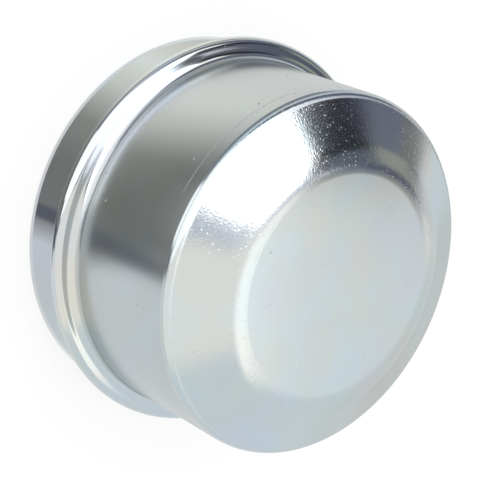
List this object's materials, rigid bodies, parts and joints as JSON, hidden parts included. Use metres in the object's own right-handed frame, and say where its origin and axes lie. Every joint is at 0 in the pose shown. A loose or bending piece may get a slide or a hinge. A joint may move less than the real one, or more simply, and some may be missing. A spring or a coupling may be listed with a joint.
{
  "type": "hub grease cap",
  "caption": "Pressed sheet-steel grease cap for a wheel hub: press-in skirt, rounded stop bead, plain round wall, and a coned, flat closed end.",
  "frame": {"origin": "centre of the open rim, on the plane that the cap stands on", "axes": "+Z along the cap's axis, from the open rim to the closed end; X and Y are free, because the cap is a body of revolution"},
  "size_m": [0.0532, 0.0532, 0.032],
  "materials": {
    "zinc_plate": "bright blue-white zinc plate over drawn steel, fine grain"
  },
  "bodies": {
    "root": {"grease_cap": "zinc_plate"}
  },
  "joints": []
}
